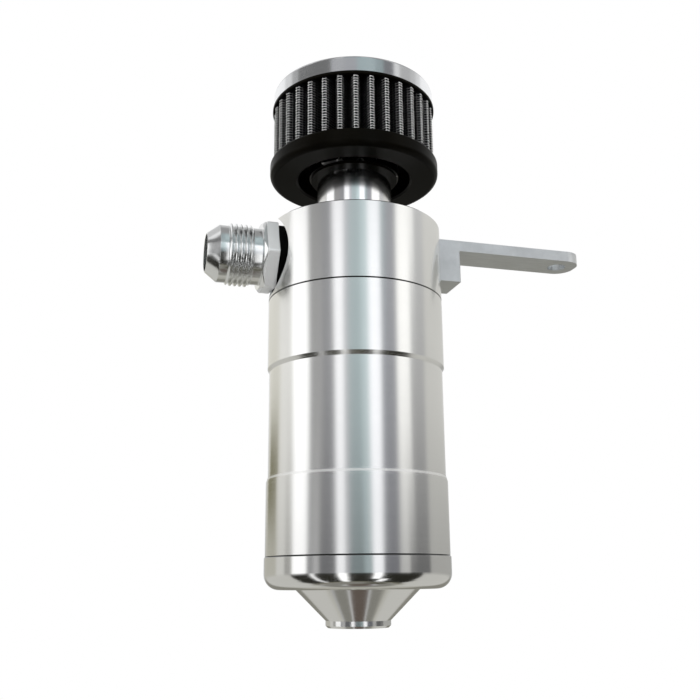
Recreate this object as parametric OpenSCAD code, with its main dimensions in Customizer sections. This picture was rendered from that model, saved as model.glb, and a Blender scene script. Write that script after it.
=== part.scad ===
// Oil catch can: a turned aluminium can in three screwed sections, with a
// clamp-on breather filter, a flared hose inlet and a side bracket.
// Millimetres. Z runs up the can's axis from zero at the drain mouth.
// The inlet fitting points to -X and the bracket arm to +X.

/* [View] */

// Which piece to draw

/* [Can] */

// Outside radius of the lid and the body tube
can_r = 38.1; // [30:0.1:60]
// How far the bottom cap stands proud of the tube
cap_proud = 0.35; // [0:0.05:2]
// Height of the bottom cap from the drain mouth to its seam
cap_h = 27.7; // [20:0.1:50]
// Height of the body tube between its two seams
tube_h = 108.7; // [60:0.1:200]
// Height of the lid above its seam
lid_h = 33.7; // [28:0.1:60]
// Depth of the shallow waist turned into the tube
waist_depth = 0.75; // [0.2:0.05:2]
// Height of the full-size band below the waist
low_band_h = 31.3; // [10:0.1:60]
// Height of the full-size band above the waist
high_band_h = 31.2; // [10:0.1:60]
// Height of the long bevel at the waist's lower end
low_bevel_h = 2.4; // [0.5:0.1:5]
// Height of the short bevel at the waist's upper end
high_bevel_h = 1.0; // [0.3:0.1:3]
// Edge break where two sections meet
seam_break = 0.3; // [0.1:0.05:1]

/* [Bottom cap] */

// Radius of the rounded lower corner
corner_r = 6.2; // [2:0.1:10]
// Height of the flat underside above the drain mouth
flat_z = 14.9; // [10:0.1:25]
// Distance in from the tube's outside to the underside's cone
cone_in = 12.6; // [8:0.1:20]
// Radius of the drain boss
boss_r = 13.3; // [10:0.1:18]
// Height of the drain boss
boss_h = 2.8; // [1.5:0.1:10]
// Edge break round the drain mouth
boss_break = 0.9; // [0.2:0.1:2]
// Radius of the tapped drain hole
drain_r = 5.9; // [4:0.1:9]
// Length of the tapped drain hole
drain_len = 10; // [6:0.5:16]
// Thickness of the cap's floor
floor_t = 4.5; // [2:0.1:8]
// Bevel between the cap's floor and its wall, inside
floor_bevel = 2; // [0.5:0.1:5]

/* [Screwed sections] */

// Depth of the section threads in from the can's outside
thread_in = 4.5; // [3.5:0.05:8]
// Length of each male thread below or above its shoulder
spigot_len = 9.5; // [6:0.1:16]
// Spare depth of each tapped seat past its male thread
seat_spare = 1; // [0.5:0.1:3]
// Wall thickness of the lid's and the cap's male threads
spigot_t = 5.1; // [2:0.1:8]
// Step from the male thread in to the body tube's bore
bore_step = 0.7; // [0.2:0.05:2]
// Lead-in bevel of each male thread
lead_in = 0.8; // [0.3:0.1:1.5]
// Thickness of the two section seals
seal_t = 1.6; // [1:0.1:3]
// Height of the cap's seal above the cap's seam
cap_seal_rise = 1.2; // [0.8:0.1:4]

/* [Lid] */

// Wall thickness of the lid round its chamber
lid_wall = 13.3; // [8:0.1:16]
// Thickness of the lid's top plate
top_t = 5; // [3:0.1:10]
// Edge break round the lid's top
lid_break = 0.5; // [0.1:0.05:2]

/* [Neck tube] */

// Outside radius of the polished neck
neck_r = 16.9; // [12:0.1:24]
// Wall thickness of the neck
neck_wall = 2; // [1:0.1:4]
// Visible length of the neck below the filter
neck_show = 24.9; // [10:0.1:60]
// Length of the neck inside the filter's sleeve
neck_grip = 12.6; // [8:0.1:20]
// Step from the neck in to its shank through the lid
shank_step = 1.6; // [0.5:0.1:3]
// Length of the bevel in the bore above the shank
bore_bevel = 3; // [1:0.1:6]
// Length of the neck's down tube below the separator's ledge
down_reach = 10; // [0:0.5:30]

/* [Inlet fitting] */

// Height of the inlet's axis above the lid's middle
inlet_rise = 1.55; // [-4:0.05:4]
// Depth of the inlet's spot face in from the can's outside
spot_depth = 5.2; // [3:0.1:9]
// Free edge of the inlet's spot face round the hex
spot_gap = 1; // [0.3:0.1:3]
// Radius of the inlet's thread, inner and outer end alike
inlet_thread_r = 13.49; // [8:0.01:18]
// Length of the inner thread's end inside the lid's chamber
inlet_reach = 0.6; // [0:0.1:3]
// Thickness of the seal under the hex
inlet_seal_t = 3.9; // [1:0.1:5]
// Outside radius of the seal under the hex
inlet_seal_r = 14.5; // [12:0.1:17]
// Depth of the neck under the seal, below the thread
inlet_neck_cut = 2.3; // [1:0.1:4]
// Width of the hex across its flats
hex_af = 28.6; // [20:0.1:36]
// Thickness of the hex
hex_t = 6.5; // [3:0.1:12]
// Length of the bevel on the hex's outer corners
hex_bevel = 2.1; // [0.5:0.1:4]
// Turn of the hex about the inlet's axis
hex_turn = 22; // [0:1:60]
// Length of the relief between the hex and the outer thread
relief_len = 4.8; // [1:0.1:8]
// Depth of that relief below the thread
relief_cut = 1.2; // [0.5:0.1:3]
// Length of the outer thread
outer_thread_len = 9.5; // [6:0.1:20]
// Step from the thread in to the plain nose in front of it
nose_step = 1.15; // [0.5:0.05:4]
// Length of the plain nose
nose_len = 3.75; // [2:0.05:12]
// Length of the flare seat
flare_len = 5.1; // [2:0.1:7]
// Half angle of the flare seat's cone
flare_angle = 37; // [30:1:45]
// Radius of the bore through the fitting
inlet_bore = 7.95; // [5:0.05:10]

/* [Bracket] */

// Depth of the bracket's spot face in from the can's outside
foot_depth = 2.9; // [1:0.1:6]
// Free edge of the spot face round the foot's corners
foot_spot_gap = 0.36; // [0.1:0.02:2]
// Thickness of the foot out from its spot face
foot_t = 12.1; // [8:0.1:24]
// Distance of the foot's top below the lid's top
foot_drop = 2.2; // [0.5:0.1:6]
// Height of the foot
foot_h = 19.7; // [15:0.1:24]
// Cut-back of the foot's inner upright edges
foot_cut = 2.2; // [0.5:0.1:4]
// Width of the foot and the arm
arm_w = 17.8; // [12:0.1:24]
// Thickness of the arm
arm_t = 4.9; // [3:0.1:8]
// Length of the arm past the foot
arm_len = 62.5; // [30:0.1:120]
// Radius of the rounded corners at the arm's end
arm_round = 7.5; // [2:0.1:10]
// Distance of the fixing hole from the arm's end
hole_in = 9.2; // [5:0.1:20]
// Radius of the fixing hole
hole_r = 4.2; // [2.5:0.05:6]
// Edge break on the foot's outer upright edges
arm_break = 0.4; // [0.1:0.1:1]
// Height of the foot screw's axis above the foot's underside
screw_rise = 7.4; // [6:0.1:12]
// Radius of the foot screw's thread
screw_r = 3; // [2:0.5:4]
// Length of the foot screw under its head
screw_len = 12; // [10:1:20]
// Depth of the screw's head below the foot's outer face
head_sink = 0.6; // [0:0.1:2]
// Spare depth of the screw's tapped hole
screw_spare = 0.6; // [0.3:0.1:2]
// Thickness of the spring washer under the head
washer_t = 1.5; // [1:0.1:2.5]
// Width of the spring washer's split
washer_split = 0.8; // [0.3:0.1:2]

/* [Filter] */

// How far the rubber band stands out past the pleats
base_wall = 1.7; // [1:0.1:4]
// Height of the rubber band
base_h = 7.7; // [5:0.1:14]
// Radius of the base's lower corner
base_corner = 2.6; // [0.5:0.1:5]
// Radius of the base's upper corner
base_lip = 1.3; // [0.5:0.1:3]
// Wall thickness of the rubber sleeve round the neck
sleeve_t = 2.7; // [2:0.1:6]
// Free width of the recess round the clamp
recess_gap = 0.83; // [0.3:0.01:4]
// Free height of the recess above the clamp's band
recess_room = 1.4; // [0.6:0.1:5]
// Rubber between the clamp's recess and the pleats' seat
hub_t = 1.6; // [1:0.1:4]
// Thickness of the lip that stops the neck's end
hub_lip = 1.4; // [0.8:0.1:4]
// Depth of the pleats, from valley to crest
pleat_depth = 7.85; // [3:0.05:14]
// Number of pleats
pleat_n = 33; // [16:1:60]
// Turn of the pleats about the can's axis
pleat_turn = 4.85; // [0:0.05:12]
// Thickness of the pleated medium
pleat_t = 1.5; // [0.8:0.1:2.5]
// Visible height of the pleats
pleat_show = 26; // [15:0.1:60]
// Depth of the pleats' seat in the base
pleat_seat = 2.2; // [1:0.1:4]
// Depth of the pleats' seat in the end cap
rim_seat = 1.2; // [0.6:0.1:3]
// Cast rubber between the end cap's seat and its rim's upper side
rim_roof = 0.2; // [0.1:0.05:2]
// How far the end cap's rim stands out past the pleats
rim_proud = 0.85; // [0.3:0.05:3]
// Edge break of the end cap's rim
rim_break = 0.25; // [0.05:0.05:0.6]
// Width of the end cap's lip inside the pleats
rim_lip = 1.3; // [0.6:0.1:4]
// Thickness of the end cap's disc under the bright cap
disc_t = 2.2; // [1:0.1:5]
// How far the bright cap stands out past the pleats
fcap_proud = 0.35; // [0.1:0.05:3]
// Height of the bright cap's band
fcap_h = 7.4; // [5:0.1:14]
// Radius of the bright cap's upper edge
fcap_edge = 1.1; // [0.5:0.1:3]
// Sheet thickness of the bright cap
fcap_t = 0.6; // [0.3:0.1:1.5]

/* [Hose clamp] */

// Thickness of the clamp's band
band_t = 0.7; // [0.4:0.1:1]
// Width of the clamp's band
band_w = 8; // [5:0.1:12]
// Height of the band above the base's underside
band_rise = 1.6; // [1:0.1:4]
// Bearing of the worm housing, counter-clockwise from +X
clamp_turn = 228; // [0:1:359]
// Radius of the worm
worm_r = 1.75; // [1.2:0.05:3]
// Gap between the band and the worm
worm_lift = 0.3; // [0.1:0.05:1]
// Sheet thickness of the worm housing
housing_t = 0.6; // [0.3:0.05:1.5]
// Length of the worm housing
housing_len = 10; // [6:0.1:14]
// Edge of the housing above and below the band
housing_edge = 0.4; // [0.1:0.1:1]
// Length of the worm's head
worm_head = 1.8; // [1:0.1:4]

/* [Separator] */

// Distance of the separator's ledge below the tube's top
ledge_drop = 43.2; // [30:0.1:80]
// Width of the ledge
ledge_w = 1.6; // [1:0.1:4]
// Height of the ledge
ledge_h = 3; // [1:0.1:6]
// Thickness of the two perforated plates
screen_t = 1.5; // [0.8:0.1:3]
// Radius of each hole in the plates
screen_hole = 2.4; // [1:0.1:3]
// Metal between two holes in the plates
screen_web = 1.6; // [0.5:0.1:3]
// Thickness of the wire pad between the plates
pad_t = 16; // [6:0.5:30]
// Thickness of the retaining ring
ring_t = 1.2; // [0.8:0.1:2]
// How far the retaining ring stands in from the bore
ring_show = 2; // [1:0.1:4]
// Depth of the retaining ring's groove
ring_groove = 0.9; // [0.5:0.1:1.5]
// Opening between the retaining ring's ends
ring_open = 10; // [4:0.5:20]

/* [Fits] */

// Running clearance of the section threads, on the radius
thread_gap = 0.05; // [0.02:0.01:0.2]
// Gap of a piece laid in its seat, on the radius
seat_gap = 0.1; // [0.05:0.05:0.3]
// Gap of a screwed or pressed piece that stays put, on the radius
fixed_gap = 0.02; // [0.01:0.01:0.1]
// Gap of a seal in its groove, on each side
groove_gap = 0.15; // [0.05:0.05:0.4]
// Sliding gap round the down tube, on the radius
slide_gap = 0.5; // [0.3:0.1:1]
// Gap round the foot screw's thread and head in the foot
screw_gap = 0.3; // [0.1:0.05:1]
// Running gap of the worm in its housing
worm_gap = 0.05; // [0.02:0.01:0.2]
// Small bevel on turned ends
edge = 0.4; // [0.2:0.1:1]

/* [Hidden] */

$fn = 96;
over = 1;

cap_top = cap_h;
tube_top = cap_top + tube_h;
lid_top = tube_top + lid_h;
plate_z = lid_top - top_t;

cap_r = can_r + cap_proud;
cone_r = can_r - cone_in;
floor_z = flat_z + floor_t;
spigot_r = can_r - thread_in;
spigot_bore = spigot_r - spigot_t;
seat_r = spigot_r + thread_gap;
seat_len = spigot_len + seat_spare;
tube_bore = spigot_r - bore_step;
tube_seal_r = (seat_r + can_r) / 2;
chamber_r = can_r - lid_wall;

waist_r = can_r - waist_depth;
waist_z = cap_top + low_band_h;
waist_top = tube_top - high_band_h;

shank_r = neck_r - shank_step;
sleeve_r = neck_r + sleeve_t;

inlet_z = tube_top + lid_h / 2 + inlet_rise;
spot_s = can_r - spot_depth;
spot_r = hex_af / 2 / cos(30) + spot_gap;
inlet_end_s = chamber_r - inlet_reach;
inlet_hex_s = spot_s + inlet_seal_t;
inlet_relief_s = inlet_hex_s + hex_t;
inlet_thread_s = inlet_relief_s + relief_len;
inlet_nose_s = inlet_thread_s + outer_thread_len;
inlet_flare_s = inlet_nose_s + nose_len;
inlet_tip_s = inlet_flare_s + flare_len;
inlet_neck_r = inlet_thread_r - inlet_neck_cut;
relief_r = inlet_thread_r - relief_cut;
nose_r = inlet_thread_r - nose_step;
flare_tip_r = nose_r - flare_len * tan(flare_angle);

foot_s = can_r - foot_depth;
foot_end = foot_s + foot_t;
foot_z = lid_top - foot_drop - foot_h;
foot_spot_r = norm([arm_w, foot_h]) / 2 + foot_spot_gap;
arm_z = foot_z + foot_h - arm_t;
arm_end = foot_end + arm_len;
hole_s = arm_end - hole_in;
screw_z = foot_z + screw_rise;
head_r = screw_r * 1.65;
head_h = screw_r * 2;
head_s = foot_end - head_h - head_sink;
screw_tip_s = head_s - washer_t - screw_len;

base_z = lid_top + neck_show;
pleat_z = base_z + base_h;
rim_z = pleat_z + pleat_show;
fcap_z = rim_z + rim_seat + rim_roof;
fcap_top = fcap_z + fcap_h;
band_r = sleeve_r + fixed_gap;
band_z = base_z + band_rise;
worm_s = band_r + band_t + worm_r + worm_lift;
housing_r = worm_r + worm_gap + housing_t;
recess_r = worm_s + housing_r + recess_gap;
hub_z = band_z + band_w + recess_room;
hub_top = base_z + neck_grip + hub_lip;
pleat_in = recess_r + hub_t + seat_gap + pleat_t;
pleat_out = pleat_in + pleat_depth;
base_r = pleat_out + base_wall;
rim_r = pleat_out + rim_proud;
lip_r = pleat_in - pleat_t - seat_gap;
fcap_r = pleat_out + fcap_proud;

ledge_z = tube_top - ledge_drop;
ledge_r = tube_bore - ledge_w;
down_z = ledge_z - down_reach;
screen_z = ledge_z;
pad_z = screen_z + screen_t;
screen2_z = pad_z + pad_t;
ring_z = screen2_z + screen_t;
screen_r = tube_bore - seat_gap;
hole_step = 2 * screen_hole + screen_web;
hole_first = shank_r + slide_gap + screen_web + screen_hole;
hole_last = ledge_r - screen_hole;

satin = [0.78, 0.78, 0.77];
bright = [0.86, 0.87, 0.88];
zinc = [0.62, 0.63, 0.64];
rubber = [0.05, 0.05, 0.05];
mesh_grey = [0.55, 0.56, 0.57];

// Waste outside a quarter round, for a corner at the origin that points +X -Y.
module corner_waste(rad) {
    difference() {
        translate([-rad, -over]) square([rad + over, rad + over]);
        translate([-rad, rad]) circle(r = rad);
    }
}

// Plain ring with square edges, or an O-ring's section where rad is half of h.
module ring_profile(r_in, r_out, z, h) {
    translate([r_in, z]) square([r_out - r_in, h]);
}

// Lays a shape drawn along +Z out along the inlet's axis, towards -X.
module along_inlet() {
    translate([0, 0, inlet_z]) rotate([0, -90, 0]) children();
}

// Lays a shape drawn along +Z out along the foot screw's axis, towards +X.
module along_screw() {
    translate([0, 0, screw_z]) rotate([0, 90, 0]) children();
}

// Solid hexagonal bar of a given width across flats, its outer corners turned off.
module hex_bar(af, h, bevel) {
    corner = af / 2 / cos(30);
    intersection() {
        cylinder(r = corner, h = h, $fn = 6);
        rotate_extrude() polygon([
            [0, 0],
            [corner, 0],
            [corner, h - bevel],
            [af / 2, h],
            [0, h]
        ]);
    }
}

// The lid: top plate, thick wall and a male thread that hangs into the tube.
module lid_profile() {
    polygon([
        [chamber_r, tube_top - spigot_len],
        [spigot_r - lead_in, tube_top - spigot_len],
        [spigot_r, tube_top - spigot_len + lead_in],
        [spigot_r, tube_top],
        [can_r - seam_break, tube_top],
        [can_r, tube_top + seam_break],
        [can_r, lid_top - lid_break],
        [can_r - lid_break, lid_top],
        [shank_r + fixed_gap, lid_top],
        [shank_r + fixed_gap, plate_z],
        [chamber_r, plate_z]
    ]);
}

module lid() {
    color(satin) difference() {
        rotate_extrude() lid_profile();
        rotate_extrude() ring_profile(chamber_r - over, spigot_bore,
            tube_top - spigot_len - over, spigot_len - seat_spare + over);
        // spot face and tapped port of the inlet
        along_inlet() translate([0, 0, spot_s]) cylinder(r = spot_r, h = can_r);
        along_inlet() cylinder(r = inlet_thread_r + fixed_gap, h = can_r);
        // spot face and tapped hole of the bracket
        translate([foot_s, 0, foot_z + foot_h / 2]) rotate([0, 90, 0])
            cylinder(r = foot_spot_r, h = can_r);
        along_screw() translate([0, 0, screw_tip_s - screw_spare])
            cylinder(r = screw_r + fixed_gap, h = can_r);
    }
}

// The neck: polished tube outside, shank through the lid, down tube inside.
module neck_tube() {
    top = base_z + neck_grip;
    bore = neck_r - neck_wall;
    low_bore = shank_r - neck_wall;
    color(bright) rotate_extrude() polygon([
        [low_bore, down_z + edge],
        [low_bore + edge, down_z],
        [shank_r - edge, down_z],
        [shank_r, down_z + edge],
        [shank_r, lid_top],
        [neck_r, lid_top],
        [neck_r, top - edge],
        [neck_r - edge, top],
        [bore, top],
        [bore, lid_top + bore_bevel],
        [low_bore, lid_top]
    ]);
}

// The inlet fitting, drawn along +Z from the can's axis and laid towards -X.
module inlet_fitting() {
    color(bright) along_inlet() difference() {
        union() {
            rotate_extrude() polygon([
                [0, inlet_end_s],
                [inlet_thread_r - lead_in, inlet_end_s],
                [inlet_thread_r, inlet_end_s + lead_in],
                [inlet_thread_r, spot_s - lead_in],
                [inlet_neck_r, spot_s - lead_in],
                [inlet_neck_r, inlet_hex_s],
                [relief_r, inlet_hex_s],
                [relief_r, inlet_thread_s - lead_in],
                [inlet_thread_r, inlet_thread_s - lead_in + relief_cut],
                [inlet_thread_r, inlet_nose_s - lead_in],
                [inlet_thread_r - lead_in, inlet_nose_s],
                [nose_r, inlet_nose_s],
                [nose_r, inlet_flare_s],
                [flare_tip_r, inlet_tip_s],
                [0, inlet_tip_s]
            ]);
            translate([0, 0, inlet_hex_s]) rotate([0, 0, hex_turn])
                hex_bar(hex_af, hex_t, hex_bevel);
        }
        cylinder(r = inlet_bore, h = inlet_tip_s + over);
    }
}

// Squeezed sealing ring between the spot face and the hex.
module fitting_o_ring() {
    wide = inlet_seal_r - inlet_neck_r - fixed_gap;
    color(rubber) along_inlet() rotate_extrude() difference() {
        ring_profile(inlet_neck_r + fixed_gap, inlet_seal_r, spot_s, inlet_seal_t);
        translate([inlet_seal_r, spot_s]) corner_waste(wide * 0.3);
        translate([inlet_seal_r, inlet_hex_s]) mirror([0, 1]) corner_waste(wide * 0.3);
    }
}

// The bracket: one machined piece, a foot block with an arm at its top.
module bracket() {
    half = arm_w / 2;
    color(satin) difference() {
        union() {
            // foot, its inner upright edges cut back to clear the spot face
            translate([0, 0, foot_z]) linear_extrude(height = foot_h) polygon([
                [foot_s, -half + foot_cut],
                [foot_s + foot_cut, -half],
                [foot_end - arm_break, -half],
                [foot_end, -half + arm_break],
                [foot_end, half - arm_break],
                [foot_end - arm_break, half],
                [foot_s + foot_cut, half],
                [foot_s, half - foot_cut]
            ]);
            // arm, its end in two rounded corners
            translate([foot_end - over, -half, arm_z])
                cube([arm_end - arm_round - foot_end + over, arm_w, arm_t]);
            translate([arm_end - arm_round - over, arm_round - half, arm_z])
                cube([arm_round + over, arm_w - 2 * arm_round, arm_t]);
            for (side = [-1, 1])
                translate([arm_end - arm_round, side * (half - arm_round), arm_z])
                    cylinder(r = arm_round, h = arm_t);
        }
        translate([hole_s, 0, arm_z - over]) cylinder(r = hole_r, h = arm_t + 2 * over);
        along_screw() translate([0, 0, foot_s - over])
            cylinder(r = screw_r + screw_gap, h = foot_end);
        along_screw() translate([0, 0, head_s - washer_t])
            cylinder(r = head_r + screw_gap, h = foot_end);
    }
}

// Socket head screw that holds the bracket's foot to the lid.
module bracket_screw() {
    color(zinc) along_screw() difference() {
        rotate_extrude() polygon([
            [0, screw_tip_s],
            [screw_r - edge, screw_tip_s],
            [screw_r, screw_tip_s + edge],
            [screw_r, head_s],
            [head_r, head_s],
            [head_r, head_s + head_h - edge],
            [head_r - edge, head_s + head_h],
            [0, head_s + head_h]
        ]);
        translate([0, 0, head_s + head_h - screw_r])
            cylinder(r = screw_r * 0.96, h = screw_r + over, $fn = 6);
    }
}

// Split spring washer under the screw's head.
module bracket_washer() {
    color(zinc) along_screw() difference() {
        rotate_extrude()
            ring_profile(screw_r + seat_gap, head_r, head_s - washer_t, washer_t);
        rotate([0, 0, 40])
            translate([0, -washer_split / 2, head_s - washer_t - over])
                cube([head_r + over, washer_split, washer_t + 2 * over]);
    }
}

// Moulded base: rubber band, recess for the clamp, sleeve that grips the neck.
module filter_base() {
    color(rubber) rotate_extrude() difference() {
        polygon([
            [neck_r + fixed_gap, base_z + edge],
            [sleeve_r, base_z + edge],
            [sleeve_r, hub_z],
            [recess_r, hub_z],
            [recess_r, base_z + lead_in],
            [recess_r + lead_in, base_z],
            [base_r, base_z],
            [base_r, pleat_z],
            [pleat_out + seat_gap, pleat_z],
            [pleat_out + seat_gap, pleat_z - pleat_seat],
            [lip_r, pleat_z - pleat_seat],
            [lip_r, hub_top],
            [neck_r - neck_wall, hub_top],
            [neck_r - neck_wall, base_z + neck_grip],
            [neck_r + fixed_gap, base_z + neck_grip]
        ]);
        translate([base_r, base_z]) corner_waste(base_corner);
        translate([base_r, pleat_z]) mirror([0, 1]) corner_waste(base_lip);
    }
}

// One boundary of the pleats: crest and valley points round the circle.
function pleat_edge(r_low, r_high, w) = [
    for (i = [0 : pleat_n - 1])
        let (pitch = 360 / pleat_n)
        for (s = [
            [r_low, -0.5 + w],
            [r_low + (r_high - r_low) * 0.12, -0.5 + w * 2.1],
            [r_high - (r_high - r_low) * 0.2, -0.18],
            [r_high - (r_high - r_low) * 0.05, -0.1],
            [r_high, 0],
            [r_high - (r_high - r_low) * 0.05, 0.1],
            [r_high - (r_high - r_low) * 0.2, 0.18],
            [r_low + (r_high - r_low) * 0.12, 0.5 - w * 2.1],
            [r_low, 0.5 - w]
        ])
        let (a = (i + s[1]) * pitch)
        [s[0] * cos(a), s[0] * sin(a)]
];

function pleat_inner(r_low, r_high) = [
    for (i = [0 : pleat_n - 1])
        let (pitch = 360 / pleat_n)
        for (s = [
            [r_low, -0.5],
            [r_low + (r_high - r_low) * 0.1, -0.36],
            [r_high - (r_high - r_low) * 0.08, -0.045],
            [r_high, 0],
            [r_high - (r_high - r_low) * 0.08, 0.045],
            [r_low + (r_high - r_low) * 0.1, 0.36]
        ])
        let (a = (i + s[1]) * pitch)
        [s[0] * cos(a), s[0] * sin(a)]
];

// The pleated medium, an open star seen from above.
module pleated_element() {
    h = pleat_seat + pleat_show + rim_seat;
    color(mesh_grey) translate([0, 0, pleat_z - pleat_seat])
        rotate([0, 0, pleat_turn]) difference() {
        linear_extrude(height = h) polygon(pleat_edge(pleat_in, pleat_out, 0.02));
        translate([0, 0, -over]) linear_extrude(height = h + 2 * over)
            polygon(pleat_inner(pleat_in - pleat_t, pleat_out - pleat_t));
    }
}

// Bright pressed cap over the pleats.
module filter_cap() {
    color(bright) rotate_extrude() difference() {
        polygon([
            [0, fcap_top - fcap_t],
            [fcap_r - fcap_edge, fcap_top - fcap_t],
            [fcap_r - fcap_t, fcap_top - fcap_edge],
            [fcap_r - fcap_t, fcap_z],
            [fcap_r, fcap_z],
            [fcap_r, fcap_top],
            [0, fcap_top]
        ]);
        translate([fcap_r, fcap_top]) mirror([0, 1]) corner_waste(fcap_edge);
    }
}

// Cast end cap: its rim shows under the bright cap and seats the pleats.
module cap_potting() {
    r = fcap_r - fcap_t - fixed_gap;
    color(rubber) rotate_extrude() polygon([
        [0, fcap_top - fcap_t - disc_t],
        [lip_r - rim_lip, fcap_top - fcap_t - disc_t],
        [lip_r - rim_lip, rim_z],
        [lip_r, rim_z],
        [lip_r, rim_z + rim_seat],
        [pleat_out + seat_gap, rim_z + rim_seat],
        [pleat_out + seat_gap, rim_z],
        [rim_r - rim_break, rim_z],
        [rim_r, rim_z + rim_break],
        [rim_r, fcap_z - rim_break],
        [rim_r - rim_break, fcap_z],
        [r, fcap_z],
        [r, fcap_top - fcap_edge],
        [r - fcap_edge + fcap_t, fcap_top - fcap_t],
        [0, fcap_top - fcap_t]
    ]);
}

// Band of the hose clamp, round the rubber sleeve.
module clamp_band() {
    color(zinc) rotate_extrude()
        ring_profile(band_r, band_r + band_t, band_z, band_w);
}

// Puts a shape drawn along +X at the worm's place, tangent to the band.
module at_worm() {
    rotate([0, 0, clamp_turn]) translate([worm_s, 0, band_z + band_w / 2])
        rotate([90, 0, 0]) children();
}

// Pressed housing that carries the worm.
module clamp_housing() {
    color(zinc) difference() {
        union() {
            at_worm() translate([0, 0, -housing_len / 2])
                cylinder(r = housing_r, h = housing_len);
            rotate([0, 0, clamp_turn])
                translate([band_r, -housing_len / 2, band_z - housing_edge])
                    cube([worm_s - band_r, housing_len, band_w + 2 * housing_edge]);
        }
        at_worm() translate([0, 0, -housing_len / 2 - over])
            cylinder(r = worm_r + worm_gap, h = housing_len + 2 * over);
        rotate_extrude() ring_profile(band_r - over, band_r + band_t + fixed_gap,
            band_z - over, band_w + 2 * over);
    }
}

// Worm of the clamp, with a slotted head.
module clamp_screw() {
    slot = worm_r * 0.4;
    color(zinc) at_worm() difference() {
        union() {
            translate([0, 0, -housing_len / 2 - edge])
                cylinder(r = worm_r, h = housing_len + edge);
            translate([0, 0, housing_len / 2])
                cylinder(r = worm_r + worm_lift, h = worm_head);
        }
        translate([-worm_r - over, -slot / 2, housing_len / 2 + worm_head / 2])
            cube([2 * worm_r + 2 * over, slot, worm_head]);
    }
}

// Face seal in the tube's top end.
module tube_o_ring() {
    color(rubber) rotate_extrude() translate([tube_seal_r, tube_top - seal_t / 2])
        circle(r = seal_t / 2 - fixed_gap, $fn = 32);
}

// Body tube: two full bands, a shallow waist, a tapped seat in each end.
module body_tube() {
    color(satin) difference() {
        rotate_extrude() polygon([
            [seat_r + seam_break, cap_top],
            [can_r - seam_break, cap_top],
            [can_r, cap_top + seam_break],
            [can_r, waist_z - low_bevel_h / 2],
            [waist_r, waist_z + low_bevel_h / 2],
            [waist_r, waist_top],
            [can_r, waist_top + high_bevel_h],
            [can_r, tube_top - seam_break],
            [can_r - seam_break, tube_top],
            [seat_r + seam_break, tube_top],
            [seat_r, tube_top - seam_break],
            [seat_r, tube_top - seat_len],
            [tube_bore, tube_top - seat_len],
            [tube_bore, ledge_z],
            [ledge_r, ledge_z],
            [ledge_r, ledge_z - ledge_h],
            [tube_bore, ledge_z - ledge_h - (tube_bore - ledge_r)],
            [tube_bore, cap_top + seat_len],
            [seat_r, cap_top + seat_len],
            [seat_r, cap_top + seam_break]
        ]);
        // groove of the face seal
        rotate_extrude() ring_profile(tube_seal_r - seal_t / 2 - groove_gap,
            tube_seal_r + seal_t / 2 + groove_gap, tube_top - seal_t, seal_t + over);
        // groove of the retaining ring
        rotate_extrude() ring_profile(tube_bore - over, tube_bore + ring_groove,
            ring_z, ring_t + thread_gap);
    }
}

// Perforated plate of the separator, holes in rings round the down tube.
module screen_plate(z) {
    difference() {
        translate([0, 0, z]) cylinder(r = screen_r, h = screen_t);
        translate([0, 0, z - over])
            cylinder(r = shank_r + slide_gap, h = screen_t + 2 * over);
        for (r = [hole_first : hole_step : hole_last])
            let (n = floor(2 * PI * r / hole_step))
                for (i = [0 : n - 1])
                    rotate([0, 0, i * 360 / n]) translate([r, 0, z - over])
                        cylinder(r = screen_hole, h = screen_t + 2 * over, $fn = 24);
    }
}

module lower_screen() {
    color(zinc) screen_plate(screen_z);
}

// Knitted wire pad between the two plates.
module mesh_pad() {
    color(mesh_grey) rotate_extrude()
        ring_profile(shank_r + slide_gap, screen_r, pad_z, pad_t);
}

module upper_screen() {
    color(zinc) screen_plate(screen2_z);
}

// Open retaining ring, sprung into the tube's groove over the plates.
module snap_ring() {
    color(zinc) difference() {
        rotate_extrude() ring_profile(tube_bore - ring_show,
            tube_bore + ring_groove - thread_gap, ring_z, ring_t);
        translate([0, -ring_open / 2, ring_z - over])
            cube([can_r, ring_open, ring_t + 2 * over]);
    }
}

// Sealing ring in the bottom cap's groove.
module cap_o_ring() {
    color(rubber) rotate_extrude()
        translate([spigot_r - seal_t / 2, cap_top + cap_seal_rise + seal_t / 2])
            circle(r = seal_t / 2 - fixed_gap, $fn = 32);
}

// Bottom cap: rounded cup, coned underside, drain boss, male thread above.
module bottom_cap() {
    color(satin) difference() {
        rotate_extrude() difference() {
            polygon([
                [0, 0],
                [boss_r - boss_break, 0],
                [boss_r, boss_break],
                [boss_r, boss_h],
                [cone_r, flat_z],
                [cap_r, flat_z],
                [cap_r, cap_top - seam_break],
                [cap_r - seam_break, cap_top],
                [spigot_r, cap_top],
                [spigot_r, cap_top + spigot_len - lead_in],
                [spigot_r - lead_in, cap_top + spigot_len],
                [spigot_bore, cap_top + spigot_len],
                [spigot_bore, floor_z + floor_bevel],
                [spigot_bore - floor_bevel, floor_z],
                [drain_r, drain_len - over],
                [0, drain_len - over]
            ]);
            translate([cap_r, flat_z]) corner_waste(corner_r);
        }
        translate([0, 0, -over]) cylinder(r = drain_r, h = drain_len + over);
        // groove of the sealing ring
        rotate_extrude() ring_profile(spigot_r - seal_t, spigot_r + over,
            cap_top + cap_seal_rise - groove_gap, seal_t + 2 * groove_gap);
    }
}

lid();
neck_tube();
inlet_fitting();
fitting_o_ring();
bracket();
bracket_screw();
bracket_washer();
filter_base();
pleated_element();
filter_cap();
cap_potting();
clamp_band();
clamp_housing();
clamp_screw();
tube_o_ring();
body_tube();
lower_screen();
mesh_pad();
upper_screen();
snap_ring();
cap_o_ring();
bottom_cap();
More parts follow.
